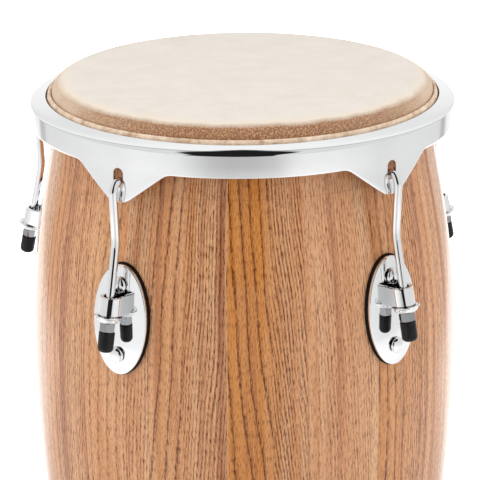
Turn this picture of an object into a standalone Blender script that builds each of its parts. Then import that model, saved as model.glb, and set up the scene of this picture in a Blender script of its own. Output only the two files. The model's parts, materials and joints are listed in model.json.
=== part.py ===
# Conga drum with hook tuning lugs. Metres, +Z up, the floor at z = 0.
# Heights named in the drum's own frame are counted from the foot of the head's collar.
from math import asin, atan, atan2, cos, degrees, pi, radians, sin, sqrt, tan

import bmesh
import bpy
from mathutils import Matrix, Vector

# Overall
TOTAL_HEIGHT = 0.711
HEAD_RISE = 0.011
GAP = 0.0003
ROUND_STEPS = 50

# Shell of staves: its outside at the head, the belly and the foot, with drops from the collar's foot
SHELL_TOP_RADIUS = 0.1394
SHELL_TOP_DROP = 0.0100
SHELL_TOP_FLARE = 0.104
BELLY_BULGE = 0.0252
BELLY_DROP = 0.2375
FOOT_RADIUS = 0.1100
FOOT_FLARE = 0.130
WALL = 0.0120
BEARING_EDGE_INSET = 0.0095
BEARING_EDGE_SLOPE = 0.0045
HOLE_CLEARANCE = 0.0005
# How much of its run the outline keeps its direction for, at the ends of its upper and lower part
UPPER_EASE = (0.2857, 0.6154)
LOWER_EASE = (0.2548, 0.5226)

# Head
SKIN = 0.0018
COLLAR_DEPTH = 0.0090
CROWN_SHOULDER = 0.0195
CROWN_EASE = (0.61, 0.036, 0.59)

# Roll of skin round the flesh hoop
ROLL_WIDTH = 0.0125
ROLL_HEIGHT = 0.0150
ROLL_CORNER = 0.0022
HEM_TOP_DROP = 0.0004
HEM_ROUND = 0.0010
HOOP_WIRE_RADIUS = 0.0035
HOOP_SLIT = 0.0010
CHANNEL_STEPS = 7

# Rim
RIM_OPENING = 0.0050
RIM_SHEET = 0.0028
RIM_DROP = 0.0030
RIM_SHOULDER = 0.0032
BAND_BOTTOM = 0.0223
TAB_LENGTH = 0.0227
TAB_FLARE = 0.0022
TAB_ROOT_HALF = 0.0365
TAB_TIP_HALF = 0.0062
SLOT_WIDTH = 0.0080
SLOT_LENGTH = 0.0134
SLOT_WEB = 0.0110

# Hook rods
LUGS = 5
ROD_RADIUS = 0.0030
ROD_CLEARANCE = 0.0004
HOOK_BEND = 0.0070
HOOK_INNER_LEG = 0.0045
KNEE_STANDOFF = 0.0055
KNEE_DROP = 0.0730
KNEE_BEND = 0.0160

# Lug plates and their gaskets
PLATE_WIDTH = 0.0445
PLATE_HEIGHT = 0.0790
PLATE_DROP = 0.1305
PLATE_SHEET = 0.0018
PLATE_DOME = 0.0006
PLATE_EDGE_ROUND = 0.0012
GASKET_THICKNESS = 0.0022
GASKET_MARGIN = 0.0008

# Straps on the plates
STRAP_WIDTH = 0.0160
STRAP_SHEET = 0.0023
STRAP_HEIGHT = 0.0120
STRAP_RISE = 0.0215
STRAP_REACH = 0.0221
STRAP_TIP = 0.0006
STRAP_TOP_SLOPE = radians(4.5)
ROD_INSET = 0.0067

# Washer, nut and cap on each rod
WASHER_RADIUS = 0.0100
WASHER_SHEET = 0.0018
WASHER_DISH = 0.0028
WASHER_REST = 0.0012
NUT_WIDTH = 0.0100
NUT_HEIGHT = 0.0065
CAP_RADIUS = 0.0056
CAP_LENGTH = 0.0142
CAP_END_WALL = 0.0035
CAP_ROUND = 0.0030
CAP_CHAMFER = 0.0005

# Mounting bolts
BOLT_RADIUS = 0.0030
BOLT_HEAD_RADIUS = 0.0058
BOLT_HEAD_HEIGHT = 0.0032
BOLT_HEAD_RIM = 0.0008
BOLT_MARGIN = 0.0145
BOLT_NUT_HEIGHT = 0.0050
BOLT_END = 0.0020

# Rubber ring round the open foot
RING_THICKNESS = 0.0030
RING_HEIGHT = 0.0200

# The radii from the shell outwards to the rods
COLLAR_Z = TOTAL_HEIGHT - HEAD_RISE
BELLY_RADIUS = SHELL_TOP_RADIUS + BELLY_BULGE
COLLAR_RADIUS = SHELL_TOP_RADIUS + GAP + SKIN
ROLL_INNER_RADIUS = COLLAR_RADIUS + GAP
ROLL_OUTER_RADIUS = ROLL_INNER_RADIUS + ROLL_WIDTH
RIM_INNER_RADIUS = COLLAR_RADIUS + RIM_OPENING
RIM_RADIUS = ROLL_OUTER_RADIUS + 2 * GAP + RIM_SHEET
KNEE = (RIM_RADIUS + KNEE_STANDOFF, -KNEE_DROP)

# Heights at the rim, and between the two bolts of a plate
RIM_TOP = -RIM_DROP
TAB_TIP = -BAND_BOTTOM - TAB_LENGTH
HANG_Z = TAB_TIP + SLOT_WEB
SLOT_BOTTOM = HANG_Z - 2 * GAP
BOLT_SPACING = PLATE_HEIGHT - 2 * BOLT_MARGIN

FINISHES = {
    "lacquered_ash": ((0.42, 0.20, 0.09), 0.18, 0.0),
    "rawhide": ((0.80, 0.66, 0.47), 0.55, 0.0),
    "chrome": ((0.86, 0.87, 0.88), 0.08, 1.0),
    "zinc_steel": ((0.62, 0.63, 0.64), 0.35, 1.0),
    "black_rubber": ((0.015, 0.015, 0.016), 0.55, 0.0),
}


def clear_scene():
    for obj in list(bpy.data.objects):
        bpy.data.objects.remove(obj, do_unlink=True)


def material(name):
    found = bpy.data.materials.get(name)
    if found:
        return found
    colour, roughness, metallic = FINISHES[name]
    made = bpy.data.materials.new(name)
    made.use_nodes = True
    shader = made.node_tree.nodes["Principled BSDF"]
    shader.inputs["Base Color"].default_value = (*colour, 1.0)
    shader.inputs["Roughness"].default_value = roughness
    shader.inputs["Metallic"].default_value = metallic
    made.diffuse_color = (*colour, 1.0)
    return made


def empty(name, parent=None, location=(0, 0, 0), rotation=(0, 0, 0)):
    made = bpy.data.objects.new(name, None)
    bpy.context.scene.collection.objects.link(made)
    made.parent = parent
    made.location = location
    made.rotation_euler = rotation
    return made


def mesh_object(name, verts, faces, finish, parent, sharp=35):
    mesh = bpy.data.meshes.new(name)
    mesh.from_pydata(verts, [], faces)
    mesh.validate()
    shape = bmesh.new()
    shape.from_mesh(mesh)
    bmesh.ops.recalc_face_normals(shape, faces=shape.faces)
    shape.to_mesh(mesh)
    shape.free()
    mesh.shade_smooth()
    mesh.set_sharp_from_angle(angle=radians(sharp))
    made = bpy.data.objects.new(name, mesh)
    bpy.context.scene.collection.objects.link(made)
    made.parent = parent
    if finish:
        mesh.materials.append(material(finish))
    return made


def bezier(start, near_start, near_end, end, steps):
    points = []
    for i in range(steps + 1):
        t = i / steps
        weights = ((1 - t) ** 3, 3 * t * (1 - t) ** 2, 3 * t * t * (1 - t), t ** 3)
        corners = (start, near_start, near_end, end)
        points.append(tuple(sum(w * p[k] for w, p in zip(weights, corners)) for k in (0, 1)))
    return points


def arc(centre, radius, first, last, steps):
    """Points from one angle in degrees to another, counted from +X towards +Z."""
    turn = [radians(first + (last - first) * i / steps) for i in range(steps + 1)]
    return [(centre[0] + radius * cos(a), centre[1] + radius * sin(a)) for a in turn]


def offset(points, distance):
    """The line of points moved sideways, to the right of its direction."""
    moved = []
    for i, point in enumerate(points):
        before = points[max(i - 1, 0)]
        after = points[min(i + 1, len(points) - 1)]
        dx = after[0] - before[0]
        dz = after[1] - before[1]
        size = sqrt(dx * dx + dz * dz)
        moved.append((point[0] + dz / size * distance, point[1] - dx / size * distance))
    return moved


def ring_faces(columns, rows, closed_rows=True):
    """Quads of a grid whose columns go all the way round."""
    faces = []
    for i in range(columns):
        j = (i + 1) % columns
        for k in range(rows if closed_rows else rows - 1):
            m = (k + 1) % rows
            faces.append((i * rows + k, i * rows + m, j * rows + m, j * rows + k))
    return faces


def turned(name, section, finish, parent, steps=ROUND_STEPS):
    """A solid turned about Z from a section. A section that starts and ends at radius 0 is closed there."""
    solid = section[0][0] == 0
    rows = section[1:-1] if solid else section
    verts = []
    for i in range(steps):
        a = pi / 2 + 2 * pi * i / steps
        verts += [(r * cos(a), r * sin(a), z) for r, z in rows]
    faces = ring_faces(steps, len(rows), closed_rows=not solid)
    if solid:
        verts += [(0, 0, section[0][1]), (0, 0, section[-1][1])]
        first = len(verts) - 2
        last = len(verts) - 1
        count = len(rows)
        for i in range(steps):
            j = (i + 1) % steps
            faces.append((first, i * count, j * count))
            faces.append((last, j * count + count - 1, i * count + count - 1))
    return mesh_object(name, verts, faces, finish, parent)


def tube(name, path, radius, finish, parent, sides=8):
    """A round bar along a path in the XZ plane, with mitred bends and flat ends."""
    verts = []
    for i, point in enumerate(path):
        before = path[max(i - 1, 0)]
        after = path[min(i + 1, len(path) - 1)]
        dx = after[0] - before[0]
        dz = after[1] - before[1]
        size = sqrt(dx * dx + dz * dz)
        for k in range(sides):
            a = 2 * pi * k / sides
            side = radius * cos(a)
            verts.append((point[0] + dz / size * side, radius * sin(a), point[1] - dx / size * side))
    faces = []
    for i in range(len(path) - 1):
        for k in range(sides):
            m = (k + 1) % sides
            faces.append((i * sides + k, i * sides + m, (i + 1) * sides + m, (i + 1) * sides + k))
    faces.append(tuple(range(sides)))
    faces.append(tuple((len(path) - 1) * sides + k for k in range(sides)))
    return mesh_object(name, verts, faces, finish, parent)


def hexagon_nut(name, width, height, bore, finish, parent, sides=12):
    """A hexagonal nut along +Z from z = 0, with a round bore."""
    across = width / 2
    verts = []
    for z in (0.0, height):
        for k in range(sides):
            a = 2 * pi * k / sides
            face_turn = (a + pi / 6) % (pi / 3) - pi / 6
            reach = across / cos(face_turn)
            verts.append((reach * cos(a), reach * sin(a), z))
        verts += [(bore * cos(2 * pi * k / sides), bore * sin(2 * pi * k / sides), z) for k in range(sides)]
    faces = []
    for k in range(sides):
        m = (k + 1) % sides
        low_out, low_in, high_out, high_in = 0, sides, 2 * sides, 3 * sides
        faces.append((low_out + k, low_out + m, high_out + m, high_out + k))
        faces.append((low_in + m, low_in + k, high_in + k, high_in + m))
        faces.append((low_out + m, low_out + k, low_in + k, low_in + m))
        faces.append((high_out + k, high_out + m, high_in + m, high_in + k))
    return mesh_object(name, verts, faces, finish, parent, sharp=20)


def boolean(obj, other, operation):
    cut = obj.modifiers.new(operation.lower(), "BOOLEAN")
    cut.operation = operation
    cut.solver = "EXACT"
    cut.object = other


def helper(obj):
    obj.hide_render = True
    obj.display_type = "WIRE"
    return obj


def shell_curve(start, flare, end, end_flare, ease):
    """An outline that leaves its start and meets its end at their slopes: widening per length downwards."""
    run = start[1] - end[1]
    leave, meet = run * ease[0], run * ease[1]
    near_start = (start[0] + flare * leave, start[1] - leave)
    near_end = (end[0] - end_flare * meet, end[1] + meet)
    return start, near_start, near_end, end


# The shell's outline, from its top down to its foot
BELLY = (BELLY_RADIUS, -BELLY_DROP)
SHELL_BOTTOM = -COLLAR_Z + RING_THICKNESS + GAP
UPPER_CURVE = shell_curve((SHELL_TOP_RADIUS, -SHELL_TOP_DROP), SHELL_TOP_FLARE, BELLY, 0.0, UPPER_EASE)
LOWER_CURVE = shell_curve(BELLY, 0.0, (FOOT_RADIUS, SHELL_BOTTOM), -FOOT_FLARE, LOWER_EASE)
OUTLINE = bezier(*UPPER_CURVE, 8) + bezier(*LOWER_CURVE, 6)[1:]
INNER_OUTLINE = [(r - WALL, z) for r, z in OUTLINE[::2]]


def radius_on(outline, z):
    """The radius of an outline at a height in the drum's frame."""
    for upper, lower in zip(outline, outline[1:]):
        if upper[1] >= z >= lower[1]:
            share = (upper[1] - z) / (upper[1] - lower[1])
            return upper[0] + (lower[0] - upper[0]) * share
    return outline[0][0]


def shell_radius(z):
    return radius_on(OUTLINE, z)


def shell_slope(z, step=0.004):
    """How fast the shell widens on the way down, as an angle."""
    return atan((shell_radius(z - step) - shell_radius(z + step)) / (2 * step))


def crown_line():
    """Outside of the head, from the flat of the crown to the collar's foot."""
    start, side, lift = CROWN_EASE
    flat = COLLAR_RADIUS - CROWN_SHOULDER
    return bezier(
        (flat, HEAD_RISE),
        (flat + start * CROWN_SHOULDER, HEAD_RISE),
        (COLLAR_RADIUS - side * CROWN_SHOULDER, lift * HEAD_RISE),
        (COLLAR_RADIUS, 0.0),
        5,
    )


def bolt_drops():
    return (PLATE_DROP - BOLT_SPACING / 2, PLATE_DROP + BOLT_SPACING / 2)


def lug_point(radius, sideways, z):
    """A point of the lug's frame that lies on a surface round the drum."""
    turn = sideways / radius
    return (radius * cos(turn), radius * sin(turn), z)


def add_shell(axis):
    edge = [p for p in offset(crown_line(), SKIN + GAP) if p[0] >= SHELL_TOP_RADIUS - BEARING_EDGE_INSET]
    peak = edge[0]
    bevel_end = (SHELL_TOP_RADIUS - WALL, peak[1] - BEARING_EDGE_SLOPE)
    section = [bevel_end] + edge + OUTLINE + INNER_OUTLINE[:0:-1]
    shell = turned("shell", section, "lacquered_ash", axis)
    drill(shell, axis, [lug_turn(lug) for lug in range(LUGS)], (-2 * WALL, WALL))


def bolt_frame(drop):
    """Where a bolt's axis meets the shell's outside, and how far its head tips up from level."""
    return shell_radius(-drop), -drop, shell_slope(-drop)


def along_bolt(drop, outward):
    """A placement whose +Z points out along the bolt, at a distance from the shell's outside."""
    radius, z, tip = bolt_frame(drop)
    turn = Matrix.Rotation(pi / 2 - tip, 4, "Y")
    return Matrix.Translation((radius, 0, z)) @ turn @ Matrix.Translation((0, 0, outward))


def prism(verts, faces, low, high):
    """Adds a closed prism between two rings of points."""
    base = len(verts)
    count = len(low)
    verts += low + high
    for k in range(count):
        m = (k + 1) % count
        faces.append((base + k, base + m, base + count + m, base + count + k))
    faces.append(tuple(base + k for k in range(count))[::-1])
    faces.append(tuple(base + count + k for k in range(count)))


def drill(obj, parent, turns, depths, sides=12):
    """Bolt holes for the lugs at these turns, between two distances from the shell's outside."""
    hole = BOLT_RADIUS + HOLE_CLEARANCE
    circle = [(hole * cos(2 * pi * k / sides), hole * sin(2 * pi * k / sides), 0) for k in range(sides)]
    verts = []
    faces = []
    for turn in turns:
        for drop in bolt_drops():
            ends = [Matrix.Rotation(turn, 4, "Z") @ along_bolt(drop, depth) for depth in depths]
            low, high = ([tuple(place @ Vector(point)) for point in circle] for place in ends)
            prism(verts, faces, low, high)
    cutter = helper(mesh_object(obj.name + "_hole_cutter", verts, faces, None, parent))
    boolean(obj, cutter, "DIFFERENCE")


def add_head(axis):
    crown = crown_line()
    under = offset(crown, SKIN)
    section = [(0, HEAD_RISE)] + crown + [(COLLAR_RADIUS, -COLLAR_DEPTH)]
    section += [(COLLAR_RADIUS - SKIN, -COLLAR_DEPTH)] + under[::-1] + [(0, HEAD_RISE - SKIN)]
    turned("drumhead", section, "rawhide", axis)


def add_roll_and_hoop(axis):
    inner = ROLL_INNER_RADIUS
    outer = ROLL_OUTER_RADIUS
    lip_bottom = RIM_TOP - RIM_SHEET - GAP
    edge = RIM_INNER_RADIUS - 2 * GAP
    centre = ((inner + outer) / 2, (lip_bottom - ROLL_HEIGHT) / 2)
    channel = (HOOP_WIRE_RADIUS + GAP) / cos(pi / CHANNEL_STEPS)
    half_slit = HOOP_SLIT / 2
    slit_turn = degrees(asin(half_slit / channel))
    corner = ROLL_CORNER
    section = [(inner, -HEM_TOP_DROP - HEM_ROUND), (inner + HEM_ROUND, -HEM_TOP_DROP)]
    section += [(edge - HEM_ROUND, RIM_TOP + HEM_ROUND), (edge, RIM_TOP - HEM_ROUND), (edge, lip_bottom)]
    section += arc((outer - corner, lip_bottom - corner), corner, 90, 0, 1)
    section += arc((outer - 2 * corner, corner * 2 - ROLL_HEIGHT), 2 * corner, 0, -90, 2)
    section += [(centre[0] + half_slit, -ROLL_HEIGHT)]
    section += arc(centre, channel, -90 + slit_turn, 270 - slit_turn, CHANNEL_STEPS)
    section += [(centre[0] - half_slit, -ROLL_HEIGHT)]
    section += arc((inner + corner, corner - ROLL_HEIGHT), corner, -90, -180, 1)
    turned("skin_roll", section, "rawhide", axis)
    hoop = arc(centre, HOOP_WIRE_RADIUS, 0, 360, 8)[:-1]
    turned("flesh_hoop", hoop, "zinc_steel", axis)


def lug_turn(lug):
    """Turn about Z of a lug's frame, whose +X points outwards. The first lug is at the back."""
    return pi / 2 + 2 * pi * lug / LUGS


def tab_bottom(sideways):
    """Height of the rim's lower edge at a distance from the middle of a tab."""
    share = (abs(sideways) - TAB_TIP_HALF) / (TAB_ROOT_HALF - TAB_TIP_HALF)
    return TAB_TIP + TAB_LENGTH * min(1.0, max(0.0, share))


def rim_face(z):
    """Outer radius of the rim at a height below its shoulder."""
    return RIM_RADIUS + TAB_FLARE * max(0.0, -BAND_BOTTOM - z) / TAB_LENGTH


def rim_section(bottom):
    shoulder = RIM_TOP - RIM_SHOULDER
    tight = RIM_SHEET * 0.45
    edge = (RIM_INNER_RADIUS + tight, RIM_TOP - tight)
    section = arc(edge, tight, 180, 90, 2)
    section += arc((RIM_RADIUS - RIM_SHOULDER, shoulder), RIM_SHOULDER, 90, 0, 3)
    crease = 0.85 * -BAND_BOTTOM + 0.15 * shoulder
    levels = (crease, 0.6 * bottom + 0.4 * crease, bottom)
    section += [(rim_face(z), z) for z in levels]
    section += [(rim_face(z) - RIM_SHEET, z) for z in reversed(levels)]
    section += [(RIM_RADIUS - RIM_SHEET, RIM_TOP - RIM_SHEET), (RIM_INNER_RADIUS, RIM_TOP - RIM_SHEET)]
    return section


def rim_columns():
    """Angles round the rim, closest together at each tab's tip and edges."""
    tab = [TAB_TIP_HALF + (TAB_ROOT_HALF - TAB_TIP_HALF) * k / 4 for k in range(5)]
    half = [0.0, TAB_TIP_HALF / 2] + tab
    sideways = [-s for s in half[:0:-1]] + half
    angles = [s / RIM_RADIUS for s in sideways]
    spare = 2 * pi / LUGS - (angles[-1] - angles[0])
    between = 5
    angles += [angles[-1] + spare * (k + 1) / (between + 1) for k in range(between)]
    columns = []
    for lug in range(LUGS):
        columns += [(lug_turn(lug) + a, a) for a in angles]
    return columns


def add_rim(axis):
    columns = rim_columns()
    verts = []
    for world_turn, tab_turn in columns:
        section = rim_section(tab_bottom(tab_turn * RIM_RADIUS))
        verts += [(r * cos(world_turn), r * sin(world_turn), z) for r, z in section]
    rows = len(verts) // len(columns)
    rim = mesh_object("rim", verts, ring_faces(len(columns), rows), "chrome", axis)
    boolean(rim, slot_cutter(axis), "DIFFERENCE")


def slot_cutter(axis):
    """Round-topped slots through all tabs."""
    half = SLOT_WIDTH / 2
    outline = arc((0.0, SLOT_BOTTOM + SLOT_LENGTH - half), half, 0, 180, 8)
    outline += [(-half, SLOT_BOTTOM), (half, SLOT_BOTTOM)]
    reach = 3 * RIM_SHEET
    verts = []
    faces = []
    for lug in range(LUGS):
        turn = Matrix.Rotation(lug_turn(lug), 4, "Z")
        low = [tuple(turn @ Vector((RIM_RADIUS - reach, y, z))) for y, z in outline]
        high = [tuple(turn @ Vector((RIM_RADIUS + reach, y, z))) for y, z in outline]
        prism(verts, faces, low, high)
    return helper(mesh_object("slot_cutter", verts, faces, None, axis))


# The hook's bend hangs on the web under the slot
HINGE = (rim_face(HANG_Z) - RIM_SHEET / 2, HANG_Z)
HOOK_CENTRE = (HINGE[0], HANG_Z - HOOK_BEND + ROD_RADIUS)

# The rod leans so that it runs through the middle of the strap's loop
STRAP_TOP = -PLATE_DROP + STRAP_RISE
STRAP_BOTTOM = STRAP_TOP - STRAP_HEIGHT
STRAP_MIDDLE = (STRAP_TOP + STRAP_BOTTOM) / 2
STRAP_NOSE = shell_radius(STRAP_MIDDLE) + STRAP_REACH
ROD_LEAN = atan2(STRAP_NOSE - ROD_INSET - KNEE[0], KNEE[1] - STRAP_MIDDLE)
ROD_DIRECTION = (sin(ROD_LEAN), -cos(ROD_LEAN))


def rod_point(distance):
    """A point of the rod's leaning run, at a distance down from its knee."""
    return (KNEE[0] + ROD_DIRECTION[0] * distance, KNEE[1] + ROD_DIRECTION[1] * distance)


# Distances down the rod from its knee: the strap's lower edge, square to the rod, then each piece's near end
STRAP_SEAT = sin(ROD_LEAN) * (STRAP_NOSE + STRAP_TIP - KNEE[0]) + cos(ROD_LEAN) * (KNEE[1] - STRAP_BOTTOM)
WASHER_AT = STRAP_SEAT + GAP
WASHER_HEIGHT = WASHER_DISH + WASHER_SHEET
NUT_AT = WASHER_AT + WASHER_HEIGHT + GAP
CAP_AT = NUT_AT + NUT_HEIGHT + GAP
ROD_END = CAP_AT + CAP_LENGTH - CAP_END_WALL - GAP

# The drum's axis stands forward, so that the origin is midway from the belly to the lug at the back
CAP_CORNER = rod_point(CAP_AT + CAP_LENGTH - CAP_ROUND)
LUG_REACH = CAP_CORNER[0] + (CAP_RADIUS - CAP_ROUND) * cos(ROD_LEAN) + CAP_ROUND
AXIS_Y = (BELLY_RADIUS - LUG_REACH) / 2


def hook_path():
    legs = arc(HOOK_CENTRE, HOOK_BEND, 180, 0, 8)
    inner_end = (legs[0][0], legs[0][1] - HOOK_INNER_LEG)
    run = Vector(KNEE) - Vector(legs[-1])
    start = Vector(KNEE) - run.normalized() * KNEE_BEND / 2
    knee = bezier(tuple(start), KNEE, KNEE, rod_point(KNEE_BEND / 2), 3)
    return [inner_end] + legs + knee + [rod_point(ROD_END)]


def add_hook(name, station):
    hinge = empty(name + "_hinge", station, (HINGE[0], 0, HINGE[1]))
    path = [(r - HINGE[0], z - HINGE[1]) for r, z in hook_path()]
    tube(name, path, ROD_RADIUS, "chrome", hinge)
    return hinge


def rod_empty(name, parent, distance, origin=(0.0, 0.0)):
    """An empty on the rod's axis whose +Z points down along the rod."""
    point = rod_point(distance)
    return empty(name, parent, (point[0] - origin[0], 0, point[1] - origin[1]), (0, pi - ROD_LEAN, 0))


def add_cap(name, hinge):
    seat = rod_empty(name + "_seat", hinge, CAP_AT, HINGE)
    bore = ROD_RADIUS + GAP
    depth = CAP_LENGTH - CAP_END_WALL
    section = [(0, depth), (bore, depth), (bore, 0.0)]
    section += [(CAP_RADIUS - CAP_CHAMFER, 0.0), (CAP_RADIUS, CAP_CHAMFER)]
    section += arc((CAP_RADIUS - CAP_ROUND, CAP_LENGTH - CAP_ROUND), CAP_ROUND, 0, 90, 2)
    section += [(0, CAP_LENGTH)]
    turned(name, section, "black_rubber", seat, steps=12)


def add_rod_nut(name, station):
    seat = rod_empty(name + "_axis", station, NUT_AT)
    hexagon_nut(name, NUT_WIDTH, NUT_HEIGHT, ROD_RADIUS + ROD_CLEARANCE, "chrome", seat)


def add_washer(name, station):
    """A dished washer: its rim is against the strap and its middle against the nut."""
    seat = rod_empty(name + "_seat", station, WASHER_AT)
    hole = ROD_RADIUS + 2 * ROD_CLEARANCE
    flat = NUT_WIDTH * 0.55
    rim_height = WASHER_SHEET * 0.7
    section = [(hole, WASHER_DISH), (flat, WASHER_DISH)]
    section += [(WASHER_RADIUS - WASHER_REST, 0.0), (WASHER_RADIUS, 0.0), (WASHER_RADIUS, rim_height)]
    section += [(flat + WASHER_SHEET / 2, WASHER_HEIGHT), (hole, WASHER_HEIGHT)]
    turned(name, section, "chrome", seat, steps=16)


def oval_solid(name, sizes, back, front, dome, rounding, finish, parent):
    """An oval plate that follows the shell, with a domed face and a rounded edge. Sizes are half its axes."""
    half_width, half_height = sizes
    segments = 20
    rings = [1.0, 0.94, 0.60] if dome else [1.0]
    verts = []

    def height(share):
        edge = max(0.0, (share - 0.90) / 0.10)
        return front + dome * (1 - share * share) - rounding * edge * edge

    def add(share, outward):
        for k in range(segments):
            a = 2 * pi * k / segments
            side = half_width * share * cos(a)
            z = -PLATE_DROP + half_height * share * sin(a)
            verts.append(lug_point(shell_radius(z) + outward, side, z))

    for share in rings:
        add(share, height(share))
    verts.append((shell_radius(-PLATE_DROP) + height(0.0), 0, -PLATE_DROP))
    top_middle = len(verts) - 1
    back_start = len(verts)
    for share in (1.0, 0.5):
        add(share, back)
    verts.append((shell_radius(-PLATE_DROP) + back, 0, -PLATE_DROP))
    back_middle = len(verts) - 1
    faces = []
    for ring in range(len(rings) - 1):
        for k in range(segments):
            m = (k + 1) % segments
            a = ring * segments
            b = a + segments
            faces.append((a + k, a + m, b + m, b + k))
    inner = (len(rings) - 1) * segments
    for k in range(segments):
        m = (k + 1) % segments
        faces.append((inner + k, inner + m, top_middle))
        faces.append((k, back_start + k, back_start + m, m))
        low = back_start + segments
        faces.append((back_start + m, back_start + k, low + k, low + m))
        faces.append((low + m, low + k, back_middle))
    return mesh_object(name, verts, faces, finish, parent)


def plate_back():
    return 2 * GAP + GASKET_THICKNESS


def strap_mesh(name, parent):
    """The loop of strip that the rod passes through, with its lower edge square to the rod."""
    half = STRAP_WIDTH / 2
    small = half - STRAP_SHEET
    middle = STRAP_NOSE - half
    root = shell_radius(-PLATE_DROP + BOLT_SPACING / 4) + plate_back() + PLATE_SHEET / 2
    outer = [(root, half)] + arc((middle, 0.0), half, 90, -90, 12) + [(root, -half)]
    inner = [(root, -small)] + arc((middle, 0.0), small, -90, 90, 12) + [(root, small)]
    loop = outer + inner
    verts = [(r - STRAP_TIP, y, STRAP_TOP - (STRAP_NOSE - r) * tan(STRAP_TOP_SLOPE)) for r, y in loop]
    verts += [(r + STRAP_TIP, y, STRAP_BOTTOM - (STRAP_NOSE - r) * tan(ROD_LEAN)) for r, y in loop]
    count = len(loop)
    faces = [(k, (k + 1) % count, count + (k + 1) % count, count + k) for k in range(count)]
    for k in range(len(outer) - 1):
        a, b = k, k + 1
        c, d = count - 2 - k, count - 1 - k
        faces.append((a, b, c, d))
        faces.append((count + b, count + a, count + d, count + c))
    return mesh_object(name, verts, faces, None, parent)


def add_plate(name, station):
    back = plate_back()
    face = back + PLATE_SHEET
    sizes = (PLATE_WIDTH / 2, PLATE_HEIGHT / 2)
    plate = oval_solid(name, sizes, back, face, PLATE_DOME, PLATE_EDGE_ROUND, "chrome", station)
    strap = helper(strap_mesh(name + "_strap", station))
    boolean(plate, strap, "UNION")
    drill(plate, station, [0.0], (-WALL / 2, WALL))


def add_gasket(name, station):
    sizes = (PLATE_WIDTH / 2 + GASKET_MARGIN, PLATE_HEIGHT / 2 + GASKET_MARGIN)
    gasket = oval_solid(name, sizes, GAP, GAP + GASKET_THICKNESS, 0.0, 0.0, "black_rubber", station)
    drill(gasket, station, [0.0], (-WALL / 2, WALL))


def head_seat(drop):
    """How far a bolt's head sits out from the shell, on the plate's domed face."""
    share = (PLATE_DROP - drop) / (PLATE_HEIGHT / 2)
    return plate_back() + PLATE_SHEET + PLATE_DOME * (1 - share * share) + 2 * GAP


def add_bolt(name, station, drop):
    seat = head_seat(drop)
    length = seat + wall_along_bolt(drop) + GAP + BOLT_NUT_HEIGHT + BOLT_END
    head = BOLT_HEAD_RADIUS
    rise = BOLT_HEAD_HEIGHT
    section = [(0, -length), (BOLT_RADIUS, -length), (BOLT_RADIUS, 0.0), (head, 0.0), (head, BOLT_HEAD_RIM)]
    section += [(head * 0.82, 0.62 * rise), (head * 0.45, 0.92 * rise), (0, rise)]
    bolt = turned(name, section, "chrome", station, steps=12)
    bolt.matrix_local = along_bolt(drop, seat)


def add_bolt_nut(name, station, drop):
    nut = hexagon_nut(name, NUT_WIDTH, BOLT_NUT_HEIGHT, BOLT_RADIUS + GAP, "zinc_steel", station)
    nut.matrix_local = along_bolt(drop, -wall_along_bolt(drop) - GAP - BOLT_NUT_HEIGHT)


def wall_along_bolt(drop):
    """The wall's thickness along a bolt, with room for the shell's hollow curve under the nut's edge."""
    inside = radius_on(INNER_OUTLINE, -drop)
    hollow = NUT_WIDTH ** 2 / (6 * inside)
    return (shell_radius(-drop) - inside) * cos(bolt_frame(drop)[2]) + hollow


def add_lug(lug, axis):
    station = empty(f"lug_{lug + 1}_station", axis, rotation=(0, 0, lug_turn(lug)))
    hinge = add_hook(f"hook_rod_{lug + 1}", station)
    add_cap(f"rod_cap_{lug + 1}", hinge)
    add_rod_nut(f"rod_nut_{lug + 1}", station)
    add_washer(f"dished_washer_{lug + 1}", station)
    add_plate(f"lug_{lug + 1}_plate", station)
    add_gasket(f"lug_{lug + 1}_gasket", station)
    for place, drop in zip(("upper", "lower"), bolt_drops()):
        add_bolt(f"{place}_bolt_{lug + 1}", station, drop)
        add_bolt_nut(f"{place}_bolt_nut_{lug + 1}", station, drop)


def add_foot_ring(axis):
    """A rubber channel pressed over the shell's lower edge."""
    bottom = -COLLAR_Z
    outer = FOOT_RADIUS + GAP
    inner = FOOT_RADIUS - WALL - GAP
    top = bottom + RING_HEIGHT
    rise = RING_HEIGHT * FOOT_FLARE
    section = [(outer + RING_THICKNESS, bottom), (outer + RING_THICKNESS + rise, top), (outer + rise, top)]
    section += [(outer, SHELL_BOTTOM - GAP), (inner, SHELL_BOTTOM - GAP), (inner + rise, top)]
    section += [(inner - RING_THICKNESS + rise, top), (inner - RING_THICKNESS, bottom)]
    turned("foot_ring", section, "black_rubber", axis)


def main():
    clear_scene()
    axis = empty("drum_axis", location=(0, AXIS_Y, COLLAR_Z))
    add_shell(axis)
    add_head(axis)
    add_roll_and_hoop(axis)
    add_rim(axis)
    add_foot_ring(axis)
    for lug in range(LUGS):
        add_lug(lug, axis)
    bpy.context.view_layer.update()


main()
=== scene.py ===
# Conga with hook tuning lugs: finishes, fine shapes, light and camera.
import json
from math import atan, cos, pi, radians, sin, sqrt, tan

import bmesh
import bpy
from mathutils import Matrix, Vector


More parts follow.
